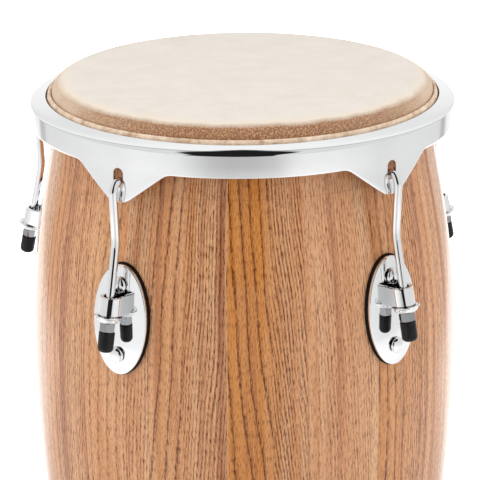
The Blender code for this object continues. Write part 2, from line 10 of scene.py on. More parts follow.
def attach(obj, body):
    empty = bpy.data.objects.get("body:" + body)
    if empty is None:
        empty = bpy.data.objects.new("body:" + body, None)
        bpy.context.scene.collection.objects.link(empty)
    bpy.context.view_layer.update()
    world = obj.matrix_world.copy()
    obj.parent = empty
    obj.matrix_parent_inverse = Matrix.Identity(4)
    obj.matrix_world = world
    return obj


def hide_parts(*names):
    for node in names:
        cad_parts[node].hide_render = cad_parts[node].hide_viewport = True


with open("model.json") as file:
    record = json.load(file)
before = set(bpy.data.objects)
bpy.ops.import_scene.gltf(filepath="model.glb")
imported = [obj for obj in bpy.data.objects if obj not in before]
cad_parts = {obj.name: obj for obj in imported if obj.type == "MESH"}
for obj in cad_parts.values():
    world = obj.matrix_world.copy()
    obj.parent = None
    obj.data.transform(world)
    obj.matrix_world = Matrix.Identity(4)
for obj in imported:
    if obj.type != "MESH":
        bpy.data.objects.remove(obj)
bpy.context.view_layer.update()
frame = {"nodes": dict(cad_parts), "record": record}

# Places shared by all pieces, in metres; heights in the drum's frame count from the collar's foot
drum = {
    "axisY": -0.01035,
    "collarZ": 0.700,
    "lugs": 5,
    "headRise": 0.011,
    "gap": 0.0003,
}


def lugTurn(lug):
    return pi / 2 + 2 * pi * lug / drum["lugs"]


def lugPlace(lug):
    return Matrix.Translation((0, drum["axisY"], drum["collarZ"])) @ Matrix.Rotation(lugTurn(lug), 4, "Z")


drumPlace = Matrix.Translation((0, drum["axisY"], drum["collarZ"]))


# Small tools for curves
def bezier(a, b, c, d, steps):
    points = []
    for i in range(steps + 1):
        t = i / steps
        w = ((1 - t) ** 3, 3 * t * (1 - t) ** 2, 3 * t * t * (1 - t), t ** 3)
        points.append(tuple(w[0] * a[k] + w[1] * b[k] + w[2] * c[k] + w[3] * d[k] for k in (0, 1)))
    return points


def arc(centre, radius, first, last, steps):
    turns = [radians(first + (last - first) * i / steps) for i in range(steps + 1)]
    return [(centre[0] + radius * cos(a), centre[1] + radius * sin(a)) for a in turns]


def offsetLine(points, distance):
    moved = []
    for i, point in enumerate(points):
        before, after = points[max(i - 1, 0)], points[min(i + 1, len(points) - 1)]
        run = Vector((after[0] - before[0], after[1] - before[1])).normalized()
        moved.append((point[0] + run.y * distance, point[1] - run.x * distance))
    return moved


def finishPiece(name, bm, body, material, nodes, sharp=35, place=None):
    # turns a bmesh into a finished piece that rides on its body
    bmesh.ops.remove_doubles(bm, verts=bm.verts, dist=0.000005)
    bmesh.ops.recalc_face_normals(bm, faces=bm.faces)
    if place is not None:
        bmesh.ops.transform(bm, matrix=place, verts=bm.verts)
    mesh = bpy.data.meshes.new(name)
    bm.to_mesh(mesh)
    bm.free()
    mesh.shade_smooth()
    mesh.set_sharp_from_angle(angle=radians(sharp))
    mesh.materials.append(material)
    piece = bpy.data.objects.new(name, mesh)
    bpy.context.scene.collection.objects.link(piece)
    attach(piece, body)
    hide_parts(*nodes)
    return piece


def meshObject(name, bm):
    bmesh.ops.recalc_face_normals(bm, faces=bm.faces)
    mesh = bpy.data.meshes.new(name)
    bm.to_mesh(mesh)
    bm.free()
    made = bpy.data.objects.new(name, mesh)
    bpy.context.scene.collection.objects.link(made)
    return made


def bakeModifiers(piece, sharp):
    # applies a piece's modifiers to its mesh
    graph = bpy.context.evaluated_depsgraph_get()
    mesh = bpy.data.meshes.new_from_object(piece.evaluated_get(graph))
    piece.modifiers.clear()
    piece.data = mesh
    mesh.shade_smooth()
    mesh.set_sharp_from_angle(angle=radians(sharp))


def carve(piece, other, operation, sharp=35):
    # joins or cuts a piece with a helper, bakes the result and removes the helper
    change = piece.modifiers.new(operation.lower(), "BOOLEAN")
    change.operation = operation
    change.solver = "EXACT"
    change.object = other
    bpy.context.view_layer.update()
    bakeModifiers(piece, sharp)
    bpy.data.objects.remove(other)


def lathe(outline, steps, closed=True):
    # a bmesh spun round Z from an outline of (radius, height)
    bm = bmesh.new()
    verts = [bm.verts.new((r, 0, z)) for r, z in outline]
    edges = [bm.edges.new(pair) for pair in zip(verts, verts[1:])]
    if closed:
        edges.append(bm.edges.new((verts[-1], verts[0])))
    bmesh.ops.spin(
        bm, geom=verts + edges, cent=(0, 0, 0), axis=(0, 0, 1), angle=2 * pi, steps=steps, use_merge=True
    )
    bmesh.ops.remove_doubles(bm, verts=bm.verts, dist=0.000005)
    return bm


# Materials
def loopEdges(bm, loop):
    return [bm.edges.get(pair) for pair in zip(loop, loop[1:] + loop[:1])]


def ringSkin(rings, capped=False):
    # a mesh drawn out from ring to ring, each with the same count of points
    bm = bmesh.new()
    first = loop = bmesh.ops.create_circle(bm, segments=len(rings[0]), radius=1.0)["verts"]
    for vert, point in zip(loop, rings[0]):
        vert.co = point
    for ring in rings[1:]:
        made = set(bmesh.ops.extrude_edge_only(bm, edges=loopEdges(bm, loop))["geom"])
        loop = [next(e.other_vert(v) for e in v.link_edges if e.other_vert(v) in made) for v in loop]
        for vert, point in zip(loop, ring):
            vert.co = point
    if capped:
        bmesh.ops.edgeloop_fill(bm, edges=loopEdges(bm, first))
        bmesh.ops.edgeloop_fill(bm, edges=loopEdges(bm, loop))
    return bm


def newMaterial(name):
    material = bpy.data.materials.new(name)
    material.use_nodes = True
    nodes = material.node_tree.nodes
    return material, nodes, material.node_tree.links, nodes["Principled BSDF"]


def makeNode(nodes, kind, **values):
    node = nodes.new(kind)
    for key, value in values.items():
        setattr(node, key, value)
    return node


def setInputs(node, **values):
    for key, value in values.items():
        node.inputs[key.replace("_", " ")].default_value = value
    return node


def mathNode(nodes, links, operation, first, second=None, third=None, clamp=False):
    node = makeNode(nodes, "ShaderNodeMath", operation=operation, use_clamp=clamp)
    for i, value in enumerate((first, second, third)):
        if value is None:
            continue
        if isinstance(value, (int, float)):
            node.inputs[i].default_value = value
        else:
            links.new(value, node.inputs[i])
    return node.outputs[0]


def rampNode(nodes, links, source, stops):
    ramp = nodes.new("ShaderNodeValToRGB")
    elements = ramp.color_ramp.elements
    elements[0].position, elements[0].color = stops[0][0], stops[0][1]
    elements[1].position, elements[1].color = stops[-1][0], stops[-1][1]
    for position, colour in stops[1:-1]:
        elements.new(position).color = colour
    links.new(source, ramp.inputs[0])
    return ramp.outputs[0]


def grey(value):
    return (value, value, value, 1)


# Shell
shell = {
    "topRadius": 0.1394,
    "topLength": 0.010,
    "bellyRadius": 0.1646,
    "bellyDrop": 0.2375,
    "footRadius": 0.110,
    "footFlare": 0.130,
    "wall": 0.012,
    "edgeInset": 0.0095,
    "edgeSlope": 0.0045,
    "ringThickness": 0.0030,
    "ringHeight": 0.0200,
    "steps": 360,
}
head = {
    "skin": 0.0018,
    "collarDepth": 0.009,
    "flatRadius": 0.122,
}
collarRadius = shell["topRadius"] + drum["gap"] + head["skin"]
shellBottom = -drum["collarZ"] + shell["ringThickness"] + drum["gap"]

wood = {
    "staves": 18,
    "firstSeam": -8.3,
    "orange": (0.62, 0.240, 0.052, 1),
    "tan": (0.645, 0.312, 0.148, 1),
    "pale": (0.765, 0.455, 0.252, 1),
    "streak": (0.40, 0.145, 0.060, 1),
    "line": (0.135, 0.030, 0.008, 1),
    # for each stave: share of orange, share of its width with wide rings, depth of the rings, lean of the grain
    "tones": (
        (1.00, 0.56, 1.00, 0.77), (0.16, 0.12, 0.30, 0.62), (0.45, 0.50, 0.72, 0.50), (0.25, 0.30, 0.45, 0.42),
        (0.70, 0.60, 0.80, 0.55), (0.30, 0.20, 0.40, 0.64), (0.50, 0.80, 0.70, 0.45), (0.10, 0.35, 0.35, 0.52),
        (0.85, 0.45, 0.90, 0.38), (0.35, 0.65, 0.55, 0.57), (0.20, 0.25, 0.50, 0.66), (0.60, 0.55, 0.75, 0.47),
        (0.45, 0.15, 0.40, 0.53), (0.75, 0.70, 0.85, 0.60), (0.15, 0.40, 0.45, 0.44), (0.55, 0.30, 0.65, 0.50),
        (0.30, 0.60, 0.50, 0.40), (0.42, 0.46, 0.85, 0.36),
    ),
    "wideRings": 6.5,
    "fineRings": 23,
    "strip": (17.885, 17.90, 17.985, 17.995),
    "stripTint": (0.25, 0.070, 0.030, 1),
    "hairline": 0.6585,
}


def woodMaterial():
    # Open-pored staves under gloss lacquer: U counts staves round the shell, V is the height in metres
    material, nodes, links, shader = newMaterial("lacqueredAsh")
    uv = nodes.new("ShaderNodeUVMap")
    uv.uv_map = "staves"
    split = nodes.new("ShaderNodeSeparateXYZ")
    links.new(uv.outputs[0], split.inputs[0])
    height = split.outputs[1]
    stave = mathNode(nodes, links, "FLOOR", split.outputs[0])
    across = mathNode(nodes, links, "FRACT", split.outputs[0])

    def tonesOf(channels):
        ramp = nodes.new("ShaderNodeValToRGB")
        ramp.color_ramp.interpolation = "CONSTANT"
        elements = ramp.color_ramp.elements
        elements.remove(elements[1])
        for index, tone in enumerate(wood["tones"]):
            element = elements[0] if index == 0 else elements.new(index / wood["staves"])
            element.color = (*(tone[c] for c in channels), 1)
        links.new(mathNode(nodes, links, "MULTIPLY_ADD", stave, 1 / wood["staves"], 0.5 / wood["staves"]), ramp.inputs[0])
        parts = nodes.new("ShaderNodeSeparateColor")
        links.new(ramp.outputs[0], parts.inputs[0])
        return parts.outputs

    orange, wideShare, depth = tonesOf((0, 1, 2))
    lean = tonesOf((3, 3, 3))[0]

    def staveNoise(acrossScale, alongScale, detail, seed, roughness=0.55):
        # noise drawn out along the stave; each stave has its own
        place = nodes.new("ShaderNodeCombineXYZ")
        links.new(mathNode(nodes, links, "MULTIPLY", across, acrossScale), place.inputs[0])
        links.new(mathNode(nodes, links, "MULTIPLY", height, alongScale), place.inputs[1])
        links.new(mathNode(nodes, links, "MULTIPLY_ADD", stave, 17.3, seed), place.inputs[2])
        noise = makeNode(nodes, "ShaderNodeTexNoise", noise_dimensions="3D")
        setInputs(noise, Scale=1.0, Detail=detail, Roughness=roughness)
        links.new(place.outputs[0], noise.inputs["Vector"])
        return noise.outputs["Fac"]

    def blend(first, second, share):
        mix = makeNode(nodes, "ShaderNodeMix", data_type="RGBA")
        for name, colour in (("A", first), ("B", second)):
            if isinstance(colour, tuple):
                mix.inputs[name].default_value = colour
            else:
                links.new(colour, mix.inputs[name])
        links.new(share, mix.inputs["Factor"])
        return mix.outputs["Result"]

    # the rings' lines lean and wander
    rise = mathNode(nodes, links, "SUBTRACT", height, 0.55)
    slide = mathNode(nodes, links, "MULTIPLY", mathNode(nodes, links, "MULTIPLY_ADD", lean, 6.0, -3.0), rise)
    wander = mathNode(nodes, links, "MULTIPLY_ADD", staveNoise(1.4, 4.0, 2.0, 3.0), 0.32, across)
    wander = mathNode(nodes, links, "MULTIPLY_ADD", staveNoise(7.0, 26.0, 2.0, 5.0), 0.03, wander)
    wander = mathNode(nodes, links, "ADD", wander, slide)

    def ringLines(count, stops):
        phase = mathNode(nodes, links, "FRACT", mathNode(nodes, links, "MULTIPLY", wander, count))
        return rampNode(nodes, links, phase, stops)

    wide = ringLines(wood["wideRings"], [(0.0, grey(1.0)), (0.08, grey(1.0)), (0.16, grey(0.42)), (0.38, grey(0.08)),
                                         (0.80, grey(0.0)), (0.95, grey(0.25)), (1.0, grey(0.9))])
    fine = ringLines(wood["fineRings"], [(0.0, grey(1.0)), (0.20, grey(0.8)), (0.42, grey(0.05)), (0.75, grey(0.0)), (1.0, grey(1.0))])
    past = mathNode(nodes, links, "SUBTRACT", across, wideShare)
    inFine = rampNode(nodes, links, mathNode(nodes, links, "ADD", past, 0.5), [(0.48, grey(0.0)), (0.53, grey(1.0))])
    wideDepth = mathNode(nodes, links, "MULTIPLY", depth, mathNode(nodes, links, "MULTIPLY_ADD", inFine, -0.72, 1.0))
    fineDepth = mathNode(nodes, links, "MULTIPLY_ADD", inFine, 0.72, 0.22)
    fineDepth = mathNode(nodes, links, "MULTIPLY", fineDepth, mathNode(nodes, links, "MULTIPLY_ADD", depth, 0.7, 0.3))
    fading = rampNode(nodes, links, staveNoise(9.0, 3.0, 2.0, 67.0), [(0.33, grey(0.35)), (0.56, grey(1.0))])
    fineDepth = mathNode(nodes, links, "MULTIPLY", fineDepth, fading)
    lines = mathNode(nodes, links, "MAXIMUM", mathNode(nodes, links, "MULTIPLY", wide, wideDepth),
                     mathNode(nodes, links, "MULTIPLY", fine, fineDepth))
    dashes = rampNode(nodes, links, staveNoise(60.0, 85.0, 3.0, 29.0, 0.65), [(0.38, grey(0.2)), (0.52, grey(1.0))])
    pores = rampNode(nodes, links, staveNoise(85.0, 210.0, 2.0, 41.0, 0.6), [(0.50, grey(0.0)), (0.62, grey(1.0))])
    dark = mathNode(nodes, links, "MULTIPLY", lines, dashes)
    poreDepth = mathNode(nodes, links, "MULTIPLY_ADD", lines, 0.50, 0.42)
    dark = mathNode(nodes, links, "MULTIPLY_ADD", pores, poreDepth, mathNode(nodes, links, "MULTIPLY", dark, 0.88), clamp=True)
    edge = mathNode(nodes, links, "ABSOLUTE", mathNode(nodes, links, "SUBTRACT", across, 0.5))
    seam = rampNode(nodes, links, edge, [(0.4955, grey(0.0)), (0.4985, grey(0.45))])
    cut = mathNode(nodes, links, "ABSOLUTE", mathNode(nodes, links, "SUBTRACT", height, wood["hairline"]))
    cut = rampNode(nodes, links, mathNode(nodes, links, "MULTIPLY", cut, 100.0), [(0.015, grey(0.35)), (0.04, grey(0.0))])
    dark = mathNode(nodes, links, "MAXIMUM", dark, mathNode(nodes, links, "MAXIMUM", seam, cut))

    fade = rampNode(nodes, links, mathNode(nodes, links, "ADD", past, 0.5), [(0.38, grey(0.0)), (0.66, grey(1.0))])
    heart = mathNode(nodes, links, "MULTIPLY", orange, mathNode(nodes, links, "MULTIPLY_ADD", fade, -0.60, 1.0))
    base = blend(wood["tan"], wood["orange"], heart)
    lift = rampNode(nodes, links, staveNoise(9.0, 4.0, 3.0, 11.0), [(0.38, grey(0.0)), (0.66, grey(0.85))])
    lift = mathNode(nodes, links, "MULTIPLY", lift, mathNode(nodes, links, "MULTIPLY_ADD", heart, -0.75, 1.0))
    base = blend(base, wood["pale"], lift)
    streaks = rampNode(nodes, links, staveNoise(6.0, 1.2, 3.0, 53.0), [(0.56, grey(0.0)), (0.70, grey(0.75))])
    base = blend(base, wood["streak"], streaks)
    # one stave has a red-brown strip of heartwood along its edge
    ends = [(at / wood["staves"], grey(share)) for at, share in zip(wood["strip"], (0.0, 0.9, 0.9, 0.0))]
    strip = rampNode(nodes, links, mathNode(nodes, links, "MULTIPLY", split.outputs[0], 1 / wood["staves"]), ends)
    strip = mathNode(nodes, links, "MULTIPLY", strip, rampNode(nodes, links, staveNoise(3.0, 5.0, 2.0, 71.0),
                                                               [(0.36, grey(0.35)), (0.55, grey(1.0))]))
    base = blend(base, wood["stripTint"], strip)
    links.new(blend(base, wood["line"], dark), shader.inputs["Base Color"])
    bump = setInputs(nodes.new("ShaderNodeBump"), Strength=0.10, Distance=0.0002)
    links.new(mathNode(nodes, links, "SUBTRACT", 1.0, pores), bump.inputs["Height"])
    links.new(bump.outputs[0], shader.inputs["Normal"])
    setInputs(shader, Roughness=0.45, Specular_IOR_Level=0.12, Coat_Weight=0.6, Coat_Roughness=0.06, IOR=1.45)
    return material


def newGroup(name, inputs, outputs):
    # inputs and outputs are (name, kind, value) with the value left out of outputs
    group = bpy.data.node_groups.new(name, "ShaderNodeTree")
    for label, kind, value in inputs:
        group.interface.new_socket(label, in_out="INPUT", socket_type=kind).default_value = value
    for label, kind in outputs:
        group.interface.new_socket(label, in_out="OUTPUT", socket_type=kind)
    nodes = group.nodes
    return group, nodes, group.links, nodes.new("NodeGroupInput").outputs, nodes.new("NodeGroupOutput").inputs


def placeGroup(nodes, group, **values):
    node = nodes.new("ShaderNodeGroup")
    node.node_tree = group
    return setInputs(node, **values)


def surfaceGrainGroup():
    # fine relief for hide and rubber: a noise, and the normals it gives
    group, nodes, links, inside, outside = newGroup(
        "surfaceGrain",
        (("Scale", "NodeSocketFloat", 500.0), ("Detail", "NodeSocketFloat", 4.0), ("Roughness", "NodeSocketFloat", 0.6),
         ("Strength", "NodeSocketFloat", 0.3), ("Depth", "NodeSocketFloat", 0.0003)),
        (("Grain", "NodeSocketFloat"), ("Normal", "NodeSocketVector")),
    )
    noise = nodes.new("ShaderNodeTexNoise")
    links.new(nodes.new("ShaderNodeTexCoord").outputs["Object"], noise.inputs["Vector"])
    for label in ("Scale", "Detail", "Roughness"):
        links.new(inside[label], noise.inputs[label])
    bump = nodes.new("ShaderNodeBump")
    links.new(inside["Strength"], bump.inputs["Strength"])
    links.new(inside["Depth"], bump.inputs["Distance"])
    links.new(noise.outputs["Fac"], bump.inputs["Height"])
    links.new(noise.outputs["Fac"], outside["Grain"])
    links.new(bump.outputs[0], outside["Normal"])
    return group


def handlingHazeGroup():
    # faint clouds of handling on plated steel: rougher and a little darker in places
    group, nodes, links, inside, outside = newGroup(
        "handlingHaze",
        (("Colour", "NodeSocketColor", grey(0.8)), ("Dull", "NodeSocketFloat", 0.05), ("Haze", "NodeSocketFloat", 0.03)),
        (("Colour", "NodeSocketColor"), ("Roughness", "NodeSocketFloat")),
    )
    noise = setInputs(nodes.new("ShaderNodeTexNoise"), Scale=45.0, Detail=6.0, Roughness=0.7)
    links.new(nodes.new("ShaderNodeTexCoord").outputs["Object"], noise.inputs["Vector"])
    smear = rampNode(nodes, links, noise.outputs["Fac"], [(0.35, grey(0.0)), (0.75, grey(1.0))])
    links.new(mathNode(nodes, links, "MULTIPLY_ADD", smear, inside["Haze"], inside["Dull"]), outside["Roughness"])
    tint = makeNode(nodes, "ShaderNodeVectorMath", operation="SCALE")
    links.new(inside["Colour"], tint.inputs[0])
    links.new(mathNode(nodes, links, "MULTIPLY_ADD", smear, -0.04, 1.0), tint.inputs["Scale"])
    links.new(tint.outputs[0], outside["Colour"])
    return group


surfaceGrain = surfaceGrainGroup()
handlingHaze = handlingHazeGroup()

skin = {
    "crown": (0.79, 0.725, 0.655, 1),
    "crownShade": (0.73, 0.655, 0.575, 1),
    # the crown's edge gets a painted highlight in this paler cream colour
    "turn": (0.80, 0.70, 0.58, 1),
    "side": (0.235, 0.088, 0.030, 1),
    "speck": (0.50, 0.27, 0.125, 1),
    # painted side light: the paler colour painted on the turned-down hide at its left and right ends, and where along
    # the sides it starts
    "paintedSideLight": (0.70, 0.54, 0.39, 1),
    "paintedSideLightAt": ((0.30, 0.0), (0.62, 0.10), (0.80, 0.36), (0.93, 0.80)),
}


def skinMaterial():
    # rawhide: pale and cloudy on the crown, brown and speckled where it turns down, with a painted highlight along the
    # crown's edge and painted side light paling the brown towards the left and right ends
    material, nodes, links, shader = newMaterial("rawhide")
    place = nodes.new("ShaderNodeTexCoord").outputs["Object"]
    split = nodes.new("ShaderNodeSeparateXYZ")
    links.new(place, split.inputs[0])

    def cloud(scale, detail, roughness=0.6):
        noise = nodes.new("ShaderNodeTexNoise")
        setInputs(noise, Scale=scale, Detail=detail, Roughness=roughness)
        links.new(place, noise.inputs["Vector"])
        return noise.outputs["Fac"]

    crown = makeNode(nodes, "ShaderNodeMix", data_type="RGBA")
    crown.inputs["A"].default_value = skin["crown"]
    crown.inputs["B"].default_value = skin["crownShade"]
    mottle = rampNode(nodes, links, cloud(38.0, 8.0, 0.75), [(0.40, grey(0.0)), (0.64, grey(0.8))])
    links.new(mottle, crown.inputs["Factor"])
    side = makeNode(nodes, "ShaderNodeMix", data_type="RGBA")
    side.inputs["A"].default_value = skin["side"]
    side.inputs["B"].default_value = skin["speck"]
    specks = rampNode(nodes, links, cloud(900.0, 2.0), [(0.48, grey(0.0)), (0.57, grey(1.0))])
    links.new(specks, side.inputs["Factor"])
    # painted side light: the turned-down hide is painted paler towards its left and right ends, where the side lamps
    # fall, and stays brown at front and back
    reach = mathNode(nodes, links, "MULTIPLY", mathNode(nodes, links, "ABSOLUTE", split.outputs[0]), 1 / collarRadius)
    reach = mathNode(nodes, links, "MULTIPLY_ADD", cloud(30.0, 3.0), 0.3, mathNode(nodes, links, "SUBTRACT", reach, 0.15))
    paintedSideLight = makeNode(nodes, "ShaderNodeMix", data_type="RGBA")
    links.new(rampNode(nodes, links, reach, [(at, grey(share)) for at, share in skin["paintedSideLightAt"]]), paintedSideLight.inputs["Factor"])
    links.new(side.outputs["Result"], paintedSideLight.inputs["A"])
    paintedSideLight.inputs["B"].default_value = skin["paintedSideLight"]
    drop = mathNode(nodes, links, "SUBTRACT", drum["collarZ"] + drum["headRise"], split.outputs[2])
    wobble = mathNode(nodes, links, "MULTIPLY_ADD", cloud(60.0, 3.0), 0.0024, -0.0012)
    drop = mathNode(nodes, links, "ADD", drop, wobble)
    drop = mathNode(nodes, links, "DIVIDE", drop, 0.011)
    # painted highlight: a paler cream band is painted along the crown's edge, just where the hide starts to turn down
    bend = makeNode(nodes, "ShaderNodeMix", data_type="RGBA")
    links.new(rampNode(nodes, links, drop, [(0.03, grey(0.0)), (0.16, grey(1.0))]), bend.inputs["Factor"])
    links.new(crown.outputs["Result"], bend.inputs["A"])
    bend.inputs["B"].default_value = skin["turn"]
    colour = makeNode(nodes, "ShaderNodeMix", data_type="RGBA")
    links.new(rampNode(nodes, links, drop, [(0.17, grey(0.0)), (0.40, grey(0.95))]), colour.inputs["Factor"])
    links.new(bend.outputs["Result"], colour.inputs["A"])
    links.new(paintedSideLight.outputs["Result"], colour.inputs["B"])
    links.new(colour.outputs["Result"], shader.inputs["Base Color"])
    grain = placeGroup(nodes, surfaceGrain, Scale=700.0, Detail=4.0, Roughness=0.6, Strength=0.35, Depth=0.0003)
    links.new(grain.outputs["Normal"], shader.inputs["Normal"])
    setInputs(shader, Roughness=0.62)
    return material


def hemMaterial():
    # the pale rolled hem of the skin, with faint streaks
    material, nodes, links, shader = newMaterial("rawhideHem")
    grain = placeGroup(nodes, surfaceGrain, Scale=160.0, Detail=5.0, Roughness=0.65, Strength=0.4, Depth=0.0004)
    colour = rampNode(
        nodes, links, grain.outputs["Grain"],
        [(0.32, (0.50, 0.32, 0.19, 1)), (0.52, (0.74, 0.56, 0.41, 1)), (0.70, (0.88, 0.76, 0.63, 1))],
    )
    links.new(colour, shader.inputs["Base Color"])
    links.new(grain.outputs["Normal"], shader.inputs["Normal"])
    setInputs(shader, Roughness=0.6)
    return material


def metalMaterial(name, colour, dull, haze):
    material, nodes, links, shader = newMaterial(name)
    worn = placeGroup(nodes, handlingHaze, Colour=(*colour, 1), Dull=dull, Haze=haze)
    links.new(worn.outputs["Colour"], shader.inputs["Base Color"])
    links.new(worn.outputs["Roughness"], shader.inputs["Roughness"])
    setInputs(shader, Metallic=1.0)
    return material


def rubberMaterial(name, gloss):
    material, nodes, links, shader = newMaterial(name)
    grain = placeGroup(nodes, surfaceGrain, Scale=900.0, Detail=3.0, Roughness=0.5, Strength=0.15, Depth=0.0001)
    colour = rampNode(nodes, links, grain.outputs["Grain"], [(0.3, (0.004, 0.0035, 0.004, 1)), (0.7, (0.014, 0.012, 0.013, 1))])
    links.new(colour, shader.inputs["Base Color"])
    links.new(grain.outputs["Normal"], shader.inputs["Normal"])
    setInputs(shader, Roughness=0.38, Specular_IOR_Level=gloss)
    return material


woodFinish = woodMaterial()
skinFinish = skinMaterial()
hemFinish = hemMaterial()
chromeFinish = metalMaterial("chromePlate", (0.90, 0.905, 0.91), 0.025, 0.03)
nutFinish = metalMaterial("nutPlate", (0.36, 0.36, 0.365), 0.07, 0.06)
steelFinish = metalMaterial("zincSteel", (0.60, 0.61, 0.62), 0.28, 0.12)
rubberFinish = rubberMaterial("blackRubber", 0.25)
gasketFinish = rubberMaterial("gasketRubber", 0.06)
print("materials made")

finishBySlot = {
    "lacquered_ash": woodFinish,
    "rawhide": skinFinish,
    "chrome": chromeFinish,
    "zinc_steel": steelFinish,
    "black_rubber": rubberFinish,
}
for entry in frame["record"]["subparts"]:
    node = frame["nodes"][entry["node"]]
    node.data.materials.clear()
    node.data.materials.append(finishBySlot[entry["material_slot"]])

def shellOutline(steps):
    top, belly = shell["topRadius"], shell["bellyRadius"]
    upper = bezier(
        (top, -shell["topLength"]), (top + 0.104 * 0.065, -shell["topLength"] - 0.065),
        (belly, -shell["bellyDrop"] + 0.140), (belly, -shell["bellyDrop"]), steps,
    )
    lower = bezier(
        (belly, -shell["bellyDrop"]), (belly, -shell["bellyDrop"] - 0.117),
        (shell["footRadius"] + shell["footFlare"] * 0.240, shellBottom + 0.240),
        (shell["footRadius"], shellBottom), steps,
    )
    return upper + lower[1:]


outlinePoints = shellOutline(60)


def shellRadius(z):
    for upper, lower in zip(outlinePoints, outlinePoints[1:]):
        if upper[1] >= z >= lower[1]:
            share = (upper[1] - z) / (upper[1] - lower[1])
            return upper[0] + (lower[0] - upper[0]) * share
    return shell["topRadius"]


def crownLine(steps):
    shoulder = collarRadius - head["flatRadius"]
    return bezier(
        (head["flatRadius"], drum["headRise"]), (head["flatRadius"] + 0.61 * shoulder, drum["headRise"]),
        (collarRadius - 0.036 * shoulder, 0.59 * drum["headRise"]), (collarRadius, 0.0), steps,
    )


def buildShell():
    edge = [p for p in offsetLine(crownLine(14), head["skin"] + drum["gap"])
            if p[0] >= shell["topRadius"] - shell["edgeInset"]]
    inner = [(r - shell["wall"], z) for r, z in shellOutline(12)[1:]]
    outline = [(shell["topRadius"] - shell["wall"], edge[0][1] - shell["edgeSlope"])] + edge
    outline += shellOutline(28) + inner[::-1]
    bm = lathe(outline, shell["steps"])
    piece = finishPiece("staveShell", bm, "drum", woodFinish, ["shell"], place=drumPlace)
    carve(piece, boltHoles(range(drum["lugs"]), -2 * shell["wall"], shell["wall"]), "DIFFERENCE")
    mesh = piece.data
    layer = mesh.uv_layers.new(name="staves")
    start = radians(wood["firstSeam"]) - pi / 2
    for face in mesh.polygons:
        middle = face.center
        turnMiddle = Vector((middle.x, middle.y - drum["axisY"]))
        base = (Vector((1, 0)).angle_signed(turnMiddle) * -1 - start) % (2 * pi)
        for loop in face.loop_indices:
            spot = mesh.vertices[mesh.loops[loop].vertex_index].co
            flat = Vector((spot.x, spot.y - drum["axisY"]))
            turn = base - turnMiddle.angle_signed(flat)
            layer.data[loop].uv = (turn / (2 * pi) * wood["staves"], spot.z)
    return piece


def buildHead():
    crown = crownLine(16)
    outline = [(0, drum["headRise"]), (head["flatRadius"] * 0.5, drum["headRise"])] + crown
    outline += [(collarRadius, -head["collarDepth"]), (collarRadius - head["skin"], -head["collarDepth"])]
    outline += offsetLine(crown, head["skin"])[::-1] + [(0, drum["headRise"] - head["skin"])]
    bm = lathe(outline, 256, closed=False)
    return finishPiece("rawhideHead", bm, "drum", skinFinish, ["drumhead"], place=drumPlace)


buildHead()
print("head made")

# Roll of skin round the flesh hoop
roll = {
    "height": 0.0150,
    "slack": 0.0004,
    "underLip": -0.0074,
    "corner": 0.0016,
    "steps": 256,
}
rim = {
    "radius": 0.1577,
    "sheet": 0.0026,
    "lip": ((0.1470, -0.0020), (0.1525, -0.0037), (0.1577, -0.0050), (0.1577, -0.0067)),
    "lipSlope": 73,
    "lipEdge": 0.0008,
    "bandBottom": 0.0223,
    "tipDrop": 0.0450,
    "flare": 0.0022,
    "rootHalf": 0.0365,
    "tipHalf": 0.0062,
    "cornerRound": 0.0030,
    "slotWidth": 0.0080,
    "slotTop": 0.0212,
    "hang": 0.0340,
    "steps": 720,
}


def buildRoll():
    inner = collarRadius + drum["gap"]
    outer = rim["radius"] - rim["sheet"] - roll["slack"]
    edge = rim["lip"][0][0] - 2 * rim["lipEdge"] - roll["slack"]
    under = roll["underLip"]
    corner = roll["corner"]
    outline = bezier((inner, -0.0024), (inner, -0.0004), (inner + 0.0006, 0.0004), (inner + 0.0015, 0.0003), 6)
    outline += bezier((inner + 0.0015, 0.0003), (edge - 0.0008, 0.0002), (edge, -0.0010), (edge, -0.0034), 8)[1:]
    outline += [(edge, under)] + arc((outer - corner, under - corner), corner, 90, 0, 4)
    outline += arc((outer - 2 * corner, 2 * corner - roll["height"]), 2 * corner, 0, -90, 6)
    outline += arc((inner + corner, corner - roll["height"]), corner, -90, -180, 4)
    bm = lathe(outline, roll["steps"])
    finishPiece("skinHem", bm, "rim", hemFinish, ["skin_roll", "flesh_hoop"], place=drumPlace)


# Rim: a lip, a shoulder and a band that grows into five slotted tabs
def tabBottom(sideways):
    # height of the lower edge beside a tab's middle, with its corners rounded off
    root, tip, top, low = rim["rootHalf"], rim["tipHalf"], -rim["bandBottom"], -rim["tipDrop"]

    def sharp(s):
        share = min(1.0, max(0.0, (abs(s) - tip) / (root - tip)))
        return low + (top - low) * share

    samples = [sharp(sideways + rim["cornerRound"] * k / 4) for k in range(-4, 5)]
    return sum(samples) / len(samples)


def rimFace(z):
    below = max(0.0, -rim["bandBottom"] - z) / (rim["tipDrop"] - rim["bandBottom"])
    return rim["radius"] + rim["flare"] * below * (0.4 + 0.6 * below)


